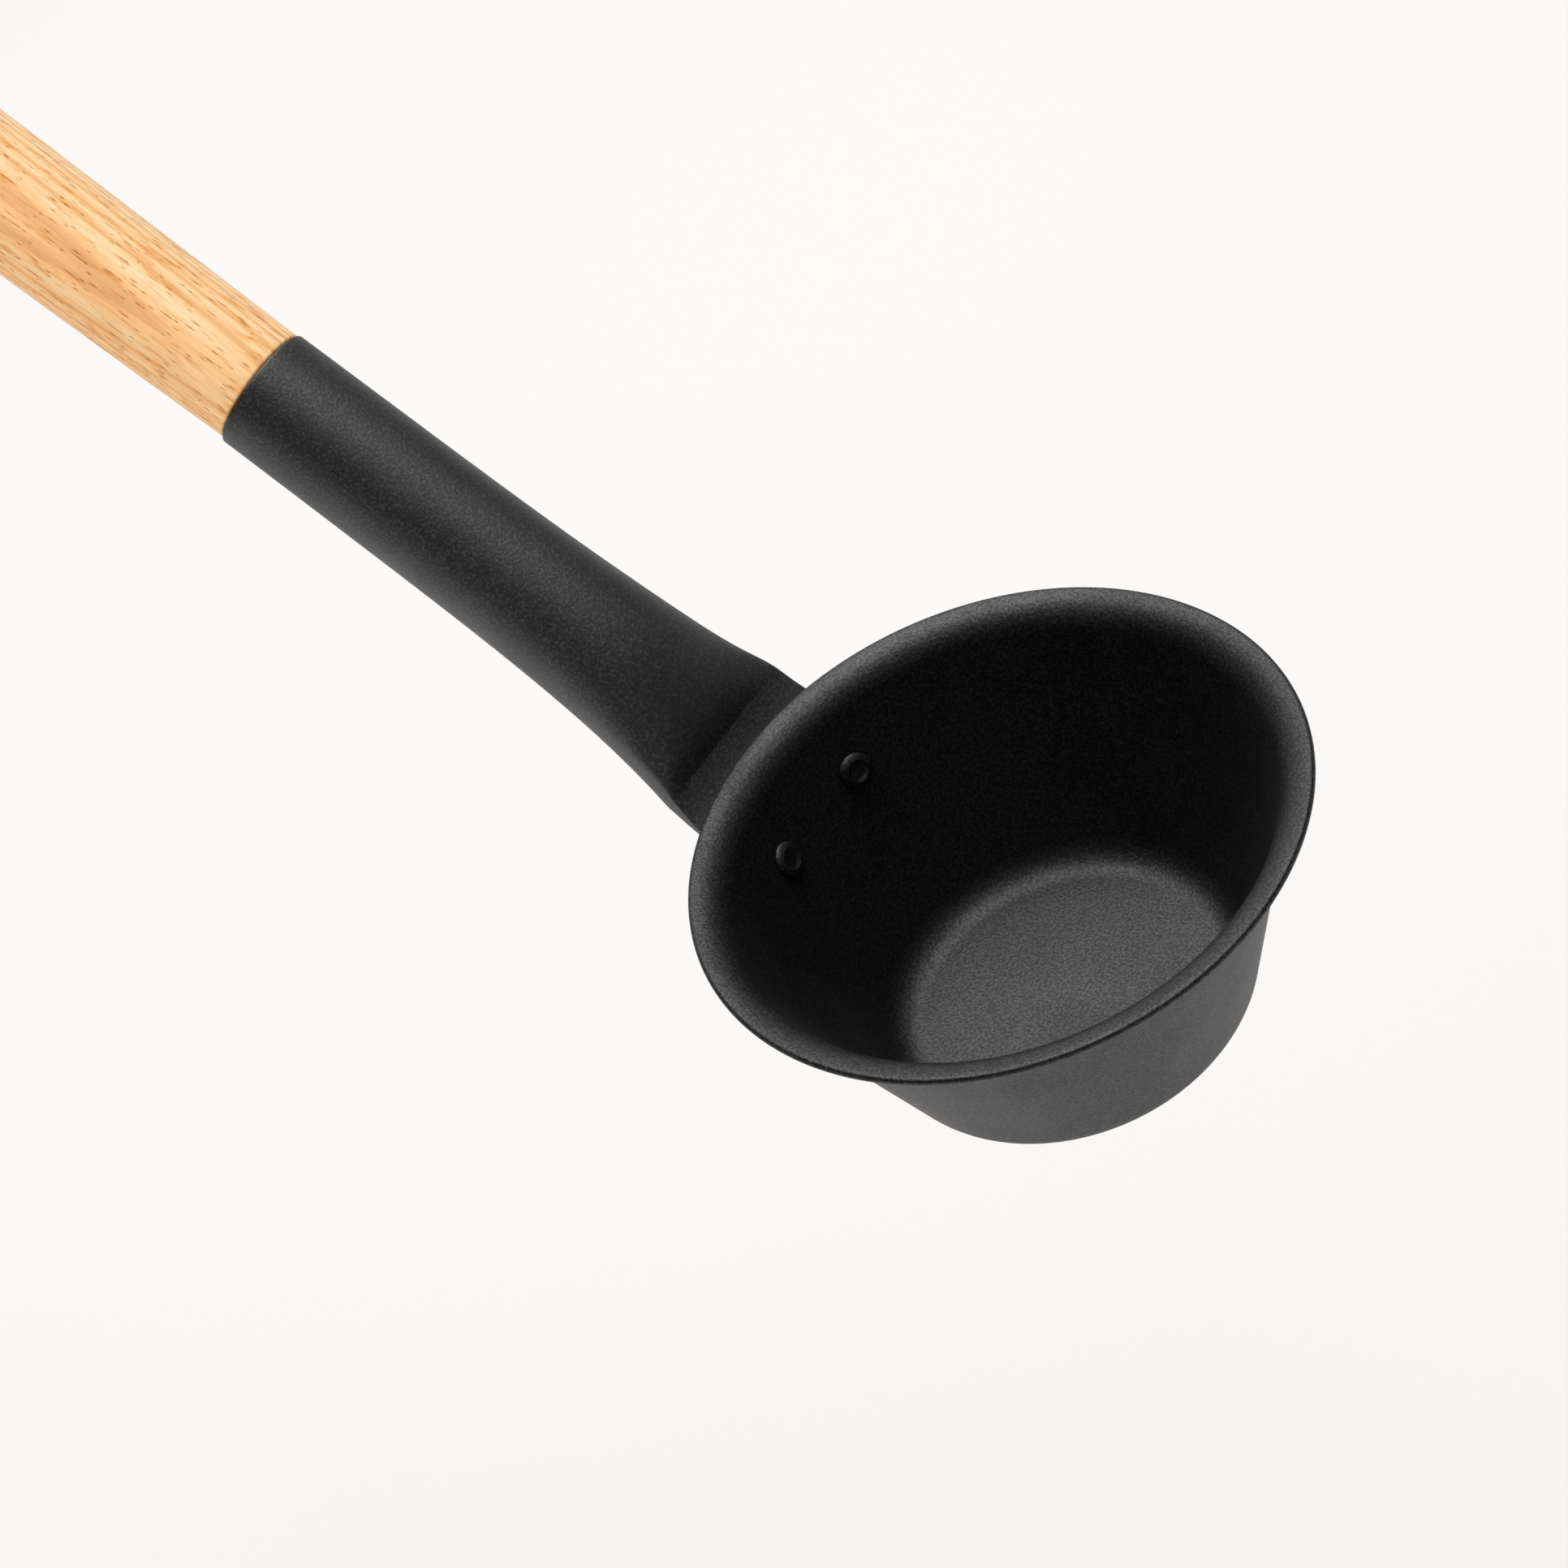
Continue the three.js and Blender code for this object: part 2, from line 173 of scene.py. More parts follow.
def made(name, shape, place=Matrix.Identity(4)):
    """An object from a bmesh in millimetres, with its normals outwards."""
    bmesh.ops.remove_doubles(shape, verts=shape.verts, dist=MERGE_REACH)
    bmesh.ops.recalc_face_normals(shape, faces=shape.faces)
    bmesh.ops.transform(shape, matrix=place @ Matrix.Scale(MM, 4), verts=shape.verts)
    mesh = bpy.data.meshes.new(name)
    shape.to_mesh(mesh)
    shape.free()
    piece = bpy.data.objects.new(name, mesh)
    bpy.context.scene.collection.objects.link(piece)
    return piece


def turned(name, profile, facets, place=Matrix.Identity(4)):
    """A profile of (radius, z) points turned about Z."""
    shape = bmesh.new()
    line = [shape.verts.new((radius, 0, z)) for radius, z in profile]
    edges = [shape.edges.new(pair) for pair in zip(line, line[1:])]
    bmesh.ops.spin(
        shape,
        geom=line + edges,
        cent=(0, 0, 0),
        axis=(0, 0, 1),
        angle=2 * math.pi,
        steps=facets,
        use_merge=True,
    )
    return made(name, shape, place)


def rod(radius, start, stop, facets, place):
    """A plain round cutter from one height to another."""
    return turned("cutter", [(0, start), (radius, start), (radius, stop), (0, stop)], facets, place)


def lofted(name, sections, place):
    """A closed skin over sections of equal point count, with a flat cap on each end."""
    shape = bmesh.new()
    rows = [[shape.verts.new(point) for point in section] for section in sections]
    for near, far in zip(rows, rows[1:]):
        for i in range(len(near)):
            shape.faces.new((near[i - 1], near[i], far[i], far[i - 1]))
    shape.faces.new(rows[0])
    shape.faces.new(rows[-1])
    return made(name, shape, place)


def cut(piece, *cutters):
    """Takes the cutters out of a piece, and removes them."""
    for cutter in cutters:
        difference = piece.modifiers.new(cutter.name, "BOOLEAN")
        difference.operation = "DIFFERENCE"
        difference.solver = "EXACT"
        difference.object = cutter
    bpy.context.view_layer.update()
    whole = piece.evaluated_get(bpy.context.evaluated_depsgraph_get())
    piece.data = bpy.data.meshes.new_from_object(whole)
    piece.modifiers.clear()
    for cutter in cutters:
        bpy.data.objects.remove(cutter)
    return piece


# Bowl profile: base corner, straight wall and flared lip, tangent to each other

rim_edge = (RIM_RADIUS - WALL / 2, BOWL_HEIGHT - WALL / 2)
corner_centre = (BASE_RADIUS, BASE_CORNER)
lip_centre = (
    rim_edge[0] + (LIP_RADIUS + WALL / 2) * math.cos(LIP_LEAN),
    rim_edge[1] - (LIP_RADIUS + WALL / 2) * math.sin(LIP_LEAN),
)
centres_apart = (lip_centre[0] - corner_centre[0], lip_centre[1] - corner_centre[1])
wall_lean = math.atan2(*centres_apart) - math.asin((BASE_CORNER + LIP_RADIUS) / math.hypot(*centres_apart))


def bowl_side(offset):
    """One side of the sheet, base to rim, moved inwards from the outer side by an offset."""
    corner, lip = BASE_CORNER - offset, LIP_RADIUS + offset
    foot = arc(corner_centre, (corner, corner), -QUARTER, -wall_lean, CORNER_STEPS)
    flare = arc(lip_centre, (lip, lip), math.pi - wall_lean, math.pi - LIP_LEAN, LIP_STEPS)
    (foot_r, foot_z), (flare_r, flare_z) = foot[-1], flare[0]
    wall = zip(spaced(foot_r, flare_r, WALL_STEPS)[:-1], spaced(foot_z, flare_z, WALL_STEPS)[:-1])
    return [*foot, *wall, *flare]


def rim_bead(radius):
    """The rounded edge between the two sides, without its ends."""
    return arc(rim_edge, (radius, radius), -LIP_LEAN, math.pi - LIP_LEAN, BEAD_STEPS)[1:-1]


def wall_radius(height):
    """Radius of the straight wall's outer side at a height."""
    foot_r, foot_z = bowl_side(0)[CORNER_STEPS]
    return foot_r + (height - foot_z) * math.tan(wall_lean)


def bowl_envelope():
    """Everything inside the bowl's outer side, grown by the seat gap: it trims the saddle to the wall."""
    outside = [*bowl_side(-SEAT_GAP), *rim_bead(WALL / 2 + SEAT_GAP)]
    return turned("envelope", [(0, -SEAT_GAP), *outside, (0, outside[-1][1])], BOWL_FACETS)


# Rivet places: origin on the wall's outer side, local +Z outwards and square to the wall

rivet_height = BOWL_HEIGHT - RIVET_DROP
rivet_reach = wall_radius(rivet_height)
rivet_spread = math.asin(RIVET_SPACING / 2 / rivet_reach)


def rivet_place(side):
    """Place of the rivet on the left, 1, or on the right, -1."""
    azimuth = math.pi - side * rivet_spread
    on_wall = Vector((rivet_reach * math.cos(azimuth), rivet_reach * math.sin(azimuth), rivet_height))
    turn = Matrix.Rotation(azimuth, 4, "Z") @ Matrix.Rotation(QUARTER + wall_lean, 4, "Y")
    return Matrix.Translation(on_wall * MM) @ turn


rivet_places = {"left": rivet_place(1), "right": rivet_place(-1)}

# Handle place: local +Z outwards along the handle, local +X square to it and up

handle_root = Vector((ROOT_SETBACK - RIM_RADIUS, 0, rim_edge[1]))
handle_place = Matrix.Translation(handle_root * MM) @ Matrix.Rotation(HANDLE_RISE - QUARTER, 4, "Y")
shoulder = NECK_LENGTH + FIT_GAP
tenon_end = NECK_LENGTH - TENON_LENGTH
tip = shoulder + HANDLE_LENGTH


def rivet_bores(radius, start):
    """Cutters along both rivets, outwards from a start."""
    return [rod(radius, start, CUT_RUN, SMALL_FACETS, place) for place in rivet_places.values()]


# Bowl


def pressed_bowl():
    inner = bowl_side(WALL)[::-1]
    sheet = [(0, 0), *bowl_side(0), *rim_bead(WALL / 2), *inner, (0, WALL)]
    bowl = turned("pressed_bowl", sheet, BOWL_FACETS)
    return cut(bowl, *rivet_bores(RIVET_SHANK_RADIUS + FIT_GAP, -BORE_LEAD))


# Neck: a round ferrule flares, bends down to a straight crease and ends in a flat ledge


def underside(z):
    """How far the neck's underside is from the axis at a station."""
    belly = FERRULE_RADIUS + BELLY_SLOPE * (NECK_LENGTH - z)
    turn = FERRULE_RADIUS + BELLY_SLOPE * (NECK_LENGTH - CHIN_SETBACK)
    chin = turn - CHIN_SLOPE * (CHIN_SETBACK - z)
    return (belly + chin - math.hypot(belly - chin, CHIN_ROUND) + CHIN_ROUND) / 2


def neck_section(z):
    """The neck's outline at a station: a crown over its waist, and flanks and belly under it."""
    flare = share(FLARE_START, CREASE_SETBACK, z) ** FLARE_POWER
    bend = share(CROWN_START, CREASE_SETBACK, z) ** CROWN_POWER
    past_crease = max(0, CREASE_SETBACK - z)
    into_mouth = share(NECK_LENGTH - FERRULE_EDGE, NECK_LENGTH, z)
    mouth = FERRULE_EDGE * (1 - math.sqrt(1 - into_mouth**2))
    widening = (SADDLE_HALF_WIDTH - FERRULE_RADIUS) * flare + SADDLE_SPREAD * past_crease
    half_width = FERRULE_RADIUS + widening - mouth
    fall = LEDGE_FALL * math.sin(QUARTER * share(CREASE_SETBACK, CREASE_SETBACK - LEDGE_RUN, z))
    top = FERRULE_RADIUS - (FERRULE_RADIUS - LEDGE_RISE) * bend - fall - mouth
    waist = (LEDGE_RISE - EDGE_ROUND) * bend - fall
    bottom = underside(z) - mouth
    crown_power = 2 / (2 + CREASE_SQUARENESS * bend**CREASE_POWER)
    flank_power = 1 + FLANK_TAPER * share(CHIN_SETBACK, CHIN_SETBACK - FLANK_TAPER_RUN, z)
    section = []
    for angle in spaced(0, 2 * math.pi, NECK_FACETS):
        across, up = math.cos(angle), math.sin(angle)
        power = crown_power if up > 0 else flank_power
        height = top - waist if up > 0 else waist + bottom
        x = waist + height * math.copysign(abs(up) ** power, up)
        y = half_width * math.copysign(abs(across) ** power, across)
        section.append((x, y, z))
    return section


def moulded_neck():
    plain_end = NECK_LENGTH - FERRULE_EDGE
    run = plain_end - CREASE_SETBACK
    ledge = CREASE_SETBACK + SADDLE_REACH
    stations = [
        *(plain_end + FERRULE_EDGE * math.sin(angle) for angle in spaced(QUARTER, 0, EDGE_STEPS)),
        *spaced(plain_end, CREASE_SETBACK, round(run / STATION)),
        *spaced(CREASE_SETBACK, -SADDLE_REACH, round(ledge / STATION)),
    ]
    neck = lofted("moulded_neck", [neck_section(z) for z in [NECK_LENGTH, *stations]], handle_place)
    socket_end = tenon_end - FIT_GAP
    stud_end = socket_end - STUD_IN_NECK - FIT_GAP
    return cut(
        neck,
        bowl_envelope(),
        rod(TENON_RADIUS + FIT_GAP, socket_end, NECK_LENGTH + CUT_RUN, SMALL_FACETS, handle_place),
        rod(STUD_RADIUS + FIT_GAP, stud_end, NECK_LENGTH, SMALL_FACETS, handle_place),
        *rivet_bores(RIVET_SHANK_RADIUS + FIT_GAP, -BORE_LEAD),
        *rivet_bores(WASHER_RADIUS + POCKET_GAP, SADDLE_GRIP),
    )


# Handle: tenon, shoulder, a long swell and a rounded tip with a hanging hole


def handle_radius(along):
    """Radius of the wood at a distance from its shoulder."""
    swell = math.sin(QUARTER * share(0, BELLY_AT, along))
    taper = 1 - math.cos(QUARTER * share(BELLY_AT, HANDLE_LENGTH - TIP_LENGTH, along))
    return SHOULDER_RADIUS + (BELLY_RADIUS - SHOULDER_RADIUS) * swell - (BELLY_RADIUS - TIP_RADIUS) * taper


def hanging_hole():
    """A cutter across the handle, with both ends eased."""
    wide = HANGING_HOLE_RADIUS + HANGING_HOLE_EDGE + BELLY_RADIUS
    ease_from = BELLY_RADIUS - HANGING_HOLE_EDGE
    profile = [
        (0, -2 * BELLY_RADIUS),
        (wide, -2 * BELLY_RADIUS),
        (HANGING_HOLE_RADIUS, -ease_from),
        (HANGING_HOLE_RADIUS, ease_from),
        (wide, 2 * BELLY_RADIUS),
        (0, 2 * BELLY_RADIUS),
    ]
    along = Matrix.Translation((0, 0, (tip - HANGING_HOLE_SETBACK) * MM))
    across = Matrix.Rotation(QUARTER, 4, "X")
    return turned("hanging_hole_cutter", profile, SMALL_FACETS, handle_place @ along @ across)


def turned_handle():
    seat = NECK_LENGTH + SEAT_GAP
    belly = spaced(SHOULDER_EDGE, HANDLE_LENGTH - TIP_LENGTH, round(HANDLE_LENGTH / HANDLE_STEP))
    edge_centre = (SHOULDER_RADIUS - SHOULDER_EDGE, seat + SHOULDER_EDGE)
    profile = [
        (0, tenon_end),
        (TENON_RADIUS - TENON_EDGE, tenon_end),
        (TENON_RADIUS, tenon_end + TENON_EDGE),
        (TENON_RADIUS, seat),
        *arc(edge_centre, (SHOULDER_EDGE, SHOULDER_EDGE), -QUARTER, 0, EDGE_STEPS),
        *((handle_radius(along), shoulder + along) for along in belly),
        *arc((0, tip - TIP_LENGTH), (TIP_RADIUS, TIP_LENGTH), 0, QUARTER, LIP_STEPS)[1:-1],
        (0, tip),
    ]
    handle = turned("turned_handle", profile, HANDLE_FACETS, handle_place)
    stud_tip = tenon_end + STUD_IN_WOOD + FIT_GAP
    stud_hole = rod(STUD_RADIUS + FIT_GAP, tenon_end - CUT_RUN, stud_tip, SMALL_FACETS, handle_place)
    return cut(handle, stud_hole, hanging_hole())


# Rivets: a low dimpled head inside the bowl, a shank and a set tail outside the saddle

wall_sag = RIVET_HEAD_RADIUS**2 / (2 * rivet_reach)  # the wall curves up to the head's edge
head_seat = -WALL - FIT_GAP - wall_sag
washer_seat = SADDLE_GRIP + FIT_GAP
tail_seat = washer_seat + WASHER_THICKNESS + FIT_GAP


def set_rivet(side):
    dimple_angle = math.acos(RIVET_DIMPLE_RADIUS / RIVET_HEAD_RADIUS)
    crown = head_seat - RIVET_HEAD_HEIGHT * math.sin(dimple_angle)
    profile = [
        (0, crown + RIVET_DIMPLE_DEPTH),
        (RIVET_DIMPLE_RADIUS - 2 * RIVET_DIMPLE_DEPTH, crown + RIVET_DIMPLE_DEPTH),
        *arc((0, head_seat), (RIVET_HEAD_RADIUS, RIVET_HEAD_HEIGHT), -dimple_angle, 0, CORNER_STEPS),
        (RIVET_SHANK_RADIUS, head_seat),
        (RIVET_SHANK_RADIUS, tail_seat),
        *arc((0, tail_seat), (RIVET_TAIL_RADIUS, RIVET_TAIL_HEIGHT), 0, QUARTER, CORNER_STEPS)[:-1],
        (0, tail_seat + RIVET_TAIL_HEIGHT),
    ]
    return turned(f"set_rivet_{side}", profile, SMALL_FACETS, rivet_places[side])


def tail_washer(side):
    bore = RIVET_SHANK_RADIUS + FIT_GAP
    top = washer_seat + WASHER_THICKNESS
    edge = (WASHER_EDGE, WASHER_EDGE)
    inside = WASHER_RADIUS - WASHER_EDGE
    profile = [
        (bore, washer_seat),
        *arc((inside, washer_seat + WASHER_EDGE), edge, -QUARTER, 0, EDGE_STEPS),
        *arc((inside, top - WASHER_EDGE), edge, 0, QUARTER, EDGE_STEPS),
        (bore, top),
        (bore, washer_seat),
    ]
    return turned(f"tail_washer_{side}", profile, SMALL_FACETS, rivet_places[side])


# Materials

# Pebbled skins of the two blacks
GRAIN = 0.42  # about 0.1 on the real skins: drawn as coarse as it needs to show
GRAIN_DEPTH = 0.05
PEBBLE_HIGHLIGHT_LEVELS = (0.5, 0.72)  # noise levels at which the painted highlight on a pebble's top starts and is full
PEBBLE_SHINE = (0.35, 0.65)  # and at which its shine is least and most
CLOUD_GRAINS = 25  # grains across a patch of duller or glossier skin
CLOUD_LEVELS = (0.3, 0.7)  # noise levels that are glossiest and dullest
CLOUD_CHANGE = 0.03  # of the roughness, both ways

# Wood grain in the handle's own axes
PITH = Vector((-13.6, 10.2, 0))  # heart of the branch, outside the handle
HONEY = ((0.18, "#fdc385"), (0.5, "#fdd19a"), (0.8, "#fee2b8"))  # tones from deep to pale
SHADED_SIDE_TONE = 0.14  # painted shade: the honey is this much deeper on the handle's shaded -Y side, and paler on the other
BAND_WIDTH = 1.1  # growth bands
BAND_WANDER = 4  # how much they waver
BAND_LINE = (0.2, 0)  # band levels at which its dark line starts and is full
BAND_LINE_SHARE = 0.25
STREAK_WIDTH = 2.2
STREAK_SHARE = 0.7  # of the tone, against the bands
STREAK_STRETCH = 20  # bands, streaks and fibres are this much longer than wide
FIBRE_WIDTH = 0.36  # bundles of fibres, since single ones are too fine to show in the render
FIBRE_LEVELS = (0.58, 0.3)  # noise levels at which a fibre starts and is full
FIBRE_SHARE = 0.45
FLECK_WIDTH = 0.95
FLECK_STRETCH = 5
FLECK_LEVELS = (0.54, 0.74)  # noise levels at which a fleck starts and is full
FLECK_SHARE = 0.85
PORE_SPACING = 0.55
PORE_WIDTH = 0.26
PORE_STRETCH = 9  # a middling pore is this much longer than wide
PORE_SHORTER = (0.5, 2.4)  # the longest and the shortest against that
PORE_THINNER = (0.7, 1.5)  # the widest and the thinnest
PORE_CORE = 0.1  # of a pore's width, from its middle out, is fully dark
PORE_CHANCE = (0.36, 0.66)  # fleck levels at which no pore and every pore is open
PORE_SHARE = 0.85
PORE_DEPTH = 0.02
SATIN = (0.38, 0.52)  # roughness of the oiled wood
PORE_DULLNESS = 0.2  # roughness that a pore adds

ZINC_CLOUD = 1.2
ZINC_SATIN = (0.28, 0.42)

COLOUR_A, COLOUR_B, COLOUR_RESULT = 6, 7, 2  # a mix node's sockets for colours


def linear(colour):
    """A linear colour, with alpha, from an sRGB hex value."""
    channels = [int(colour[i : i + 2], 16) / 255 for i in (1, 3, 5)]
    return (*((c / 12.92 if c <= 0.04045 else ((c + 0.055) / 1.055) ** 2.4) for c in channels), 1)


def add(tree, kind, inputs, **settings):
    """One node with its settings. An input is a value, or another node's output that is linked to it."""
    node = tree.nodes.new(kind)
    for name, value in settings.items():
        setattr(node, name, value)
    for name, value in inputs.items():
        if isinstance(value, bpy.types.NodeSocket):
            tree.links.new(value, node.inputs[name])
        else:
            node.inputs[name].default_value = value
    return node


def blank(name):
    """A new material, its node tree and the shader in it."""
    material = bpy.data.materials.new(name)
    material.use_nodes = True
    return material, material.node_tree, material.node_tree.nodes["Principled BSDF"]


def per_mm(size):
    """Texture scale at which a pattern's features are this many millimetres apart."""
    return 1 / (size * MM)


def matte_black(name, dark, pale, ior, roughness, gloss, glint):
    """Black with a fine pebbled skin, which spreads a highlight into a soft band that sparkles finely. The
    pebbles' tops are painted paler, a painted highlight.
    """
    material, tree, shader = blank(name)
    place = add(tree, "ShaderNodeTexCoord", {}).outputs["Object"]
    pebbles = add(
        tree, "ShaderNodeTexNoise", {"Vector": place, "Scale": per_mm(GRAIN), "Detail": 1}
    ).outputs["Fac"]
    clouds = add(
        tree,
        "ShaderNodeTexNoise",
        {"Vector": place, "Scale": per_mm(GRAIN * CLOUD_GRAINS), "Detail": 3},
    ).outputs["Fac"]
    # painted highlight: the pebbles' tops are painted paler, standing in for light catching the grain
    tint = add(tree, "ShaderNodeValToRGB", {"Fac": pebbles})
    for stop, level, colour in zip(tint.color_ramp.elements, PEBBLE_HIGHLIGHT_LEVELS, (dark, pale)):
        stop.position, stop.color = level, linear(colour)
    gloss_change = add(
        tree,
        "ShaderNodeMapRange",
        {
            "Value": clouds,
            "From Min": CLOUD_LEVELS[0],
            "From Max": CLOUD_LEVELS[1],
            "To Min": roughness - CLOUD_CHANGE,
            "To Max": roughness + CLOUD_CHANGE,
        },
    )
    sparkle = add(
        tree,
        "ShaderNodeMapRange",
        {
            "Value": pebbles,
            "From Min": PEBBLE_SHINE[0],
            "From Max": PEBBLE_SHINE[1],
            "To Min": gloss * (1 - glint),
            "To Max": gloss * (1 + glint),
        },
    )
    skin = add(
        tree, "ShaderNodeBump", {"Height": pebbles, "Strength": 1, "Distance": GRAIN_DEPTH * MM}
    )
    tree.links.new(tint.outputs["Color"], shader.inputs["Base Color"])
    tree.links.new(gloss_change.outputs["Result"], shader.inputs["Roughness"])
    tree.links.new(skin.outputs["Normal"], shader.inputs["Normal"])
    tree.links.new(sparkle.outputs["Result"], shader.inputs["Specular IOR Level"])
    shader.inputs["IOR"].default_value = ior
    return material


def open_pores(tree, axes, flecks):
    """Pores as short dashes on the unrolled surface, 1 inside a pore: they crowd in the flecks."""
    turn = add(tree, "ShaderNodeMath", {0: axes["Y"], 1: axes["X"]}, operation="ARCTAN2").outputs[0]
    round_way = add(
        tree, "ShaderNodeMath", {0: turn, 1: BELLY_RADIUS * MM}, operation="MULTIPLY"
    ).outputs[0]
    long_way = add(
        tree, "ShaderNodeMath", {0: axes["Z"], 1: 1 / PORE_STRETCH}, operation="MULTIPLY"
    ).outputs[0]
    unrolled = add(tree, "ShaderNodeCombineXYZ", {"X": round_way, "Y": long_way}).outputs["Vector"]
    cells = add(
        tree,
        "ShaderNodeTexVoronoi",
        {"Vector": unrolled, "Scale": per_mm(PORE_SPACING)},
        voronoi_dimensions="2D",
    ).outputs
    luck = add(tree, "ShaderNodeSeparateColor", {"Color": cells["Color"]}).outputs
    shorter = add(
        tree,
        "ShaderNodeMapRange",
        {"Value": luck["Green"], "To Min": PORE_SHORTER[0], "To Max": PORE_SHORTER[1]},
    ).outputs["Result"]
    thinner = add(
        tree,
        "ShaderNodeMapRange",
        {"Value": luck["Blue"], "To Min": PORE_THINNER[0], "To Max": PORE_THINNER[1]},
    ).outputs["Result"]
    pore_shape = add(tree, "ShaderNodeCombineXYZ", {"X": thinner, "Y": shorter}).outputs["Vector"]
    from_pore = add(
        tree, "ShaderNodeVectorMath", {0: unrolled, 1: cells["Position"]}, operation="SUBTRACT"
    ).outputs["Vector"]
    across_pore = add(
        tree, "ShaderNodeVectorMath", {0: from_pore, 1: pore_shape}, operation="MULTIPLY"
    ).outputs["Vector"]
    reach = add(tree, "ShaderNodeVectorMath", {0: across_pore}, operation="LENGTH").outputs["Value"]
    in_pore = add(
        tree,
        "ShaderNodeMapRange",
        {
            "Value": reach,
            "From Min": PORE_CORE * PORE_WIDTH * MM,
            "From Max": PORE_WIDTH / 2 * MM,
            "To Min": 1,
            "To Max": 0,
        },
    ).outputs["Result"]
    chance = add(
        tree,
        "ShaderNodeMapRange",
        {"Value": flecks, "From Min": PORE_CHANCE[0], "From Max": PORE_CHANCE[1]},
    ).outputs["Result"]
    open_cell = add(
        tree, "ShaderNodeMath", {0: chance, 1: luck["Red"]}, operation="GREATER_THAN"
    ).outputs[0]
    return add(tree, "ShaderNodeMath", {0: in_pore, 1: open_cell}, operation="MULTIPLY").outputs[0]


def oiled_rubberwood():
    """Rubberwood, turned, sanded and oiled: pale honey with fine growth lines and straight fibres, orange
    flecks with short brown pores crowded in them, and a satin sheen that the pores break."""
    material, tree, shader = blank("oiled_rubberwood")
    place = add(tree, "ShaderNodeTexCoord", {}).outputs["Object"]
    in_handle = add(
        tree,
        "ShaderNodeMapping",
        {"Vector": place, "Location": handle_root * MM, "Rotation": (0, HANDLE_RISE - QUARTER, 0)},
        vector_type="TEXTURE",
    ).outputs["Vector"]
    from_pith = add(
        tree,
        "ShaderNodeMapping",
        {"Vector": in_handle, "Location": PITH * -MM, "Scale": (1, 1, 1 / STREAK_STRETCH)},
    ).outputs["Vector"]
    in_flecks = add(
        tree, "ShaderNodeMapping", {"Vector": in_handle, "Scale": (1, 1, 1 / FLECK_STRETCH)}
    ).outputs["Vector"]
    bands = add(
        tree,
        "ShaderNodeTexWave",
        {
            "Vector": from_pith,
            "Scale": math.pi / 10 / (BAND_WIDTH * MM),  # at scale 1, rings are pi / 10 apart
            "Distortion": BAND_WANDER,
            "Detail": 3,
            "Detail Scale": 0.5,
            "Detail Roughness": 0.6,
        },
        wave_type="RINGS",
        rings_direction="Z",
    ).outputs["Fac"]
    streaks = add(
        tree,
        "ShaderNodeTexNoise",
        {"Vector": from_pith, "Scale": per_mm(STREAK_WIDTH), "Detail": 4, "Roughness": 0.6},
    ).outputs["Fac"]
    fibres = add(
        tree, "ShaderNodeTexNoise", {"Vector": from_pith, "Scale": per_mm(FIBRE_WIDTH), "Detail": 2}
    ).outputs["Fac"]
    flecks = add(
        tree,
        "ShaderNodeTexNoise",
        {"Vector": in_flecks, "Scale": per_mm(FLECK_WIDTH), "Detail": 2, "Distortion": 0.3},
    ).outputs["Fac"]
    axes = add(tree, "ShaderNodeSeparateXYZ", {"Vector": in_handle}).outputs
    pores = open_pores(tree, axes, flecks)

    # Colour: honey tones with painted shade on the -Y side, then orange flecks, fibres, and brown pores and
    # growth lines
    grain = add(
        tree, "ShaderNodeMix", {"Factor": STREAK_SHARE, "A": bands, "B": streaks}
    ).outputs["Result"]
    # painted shade: the grain's honey deepens towards the handle's shaded -Y side and pales towards +Y
    grain_and_side_shade = add(
        tree,
        "ShaderNodeMath",
        {0: axes["Y"], 1: SHADED_SIDE_TONE / (BELLY_RADIUS * MM), 2: grain},
        operation="MULTIPLY_ADD",
    ).outputs[0]
    honey = add(tree, "ShaderNodeValToRGB", {"Fac": grain_and_side_shade})
    honey.color_ramp.elements.new(HONEY[1][0])
    for stop, (level, colour) in zip(honey.color_ramp.elements, HONEY):
        stop.position, stop.color = level, linear(colour)
    fleck_shade = add(
        tree,
        "ShaderNodeMapRange",
        {
            "Value": flecks,
            "From Min": FLECK_LEVELS[0],
            "From Max": FLECK_LEVELS[1],
            "To Max": FLECK_SHARE,
        },
    ).outputs["Result"]
    flecked = add(
        tree,
        "ShaderNodeMix",
        {"Factor": fleck_shade, COLOUR_A: honey.outputs["Color"], COLOUR_B: linear("#e99642")},
        data_type="RGBA",
    ).outputs[COLOUR_RESULT]
    fibre_shade = add(
        tree,
        "ShaderNodeMapRange",
        {
            "Value": fibres,
            "From Min": FIBRE_LEVELS[0],
            "From Max": FIBRE_LEVELS[1],
            "To Max": FIBRE_SHARE,
        },
    ).outputs["Result"]
    fibred = add(
        tree,
        "ShaderNodeMix",
        {"Factor": fibre_shade, COLOUR_A: flecked, COLOUR_B: linear("#e9a65b")},
        data_type="RGBA",
    ).outputs[COLOUR_RESULT]
    lines = add(
        tree,
        "ShaderNodeMapRange",
        {
            "Value": bands,
            "From Min": BAND_LINE[0],
            "From Max": BAND_LINE[1],
            "To Max": BAND_LINE_SHARE,
        },
    ).outputs["Result"]
    brown_shade = add(
        tree, "ShaderNodeMath", {0: pores, 1: PORE_SHARE, 2: lines}, operation="MULTIPLY_ADD"
    ).outputs[0]
    pored = add(
        tree,
        "ShaderNodeMix",
        {"Factor": brown_shade, COLOUR_A: fibred, COLOUR_B: linear("#ad5f18")},
        data_type="RGBA",
    ).outputs[COLOUR_RESULT]

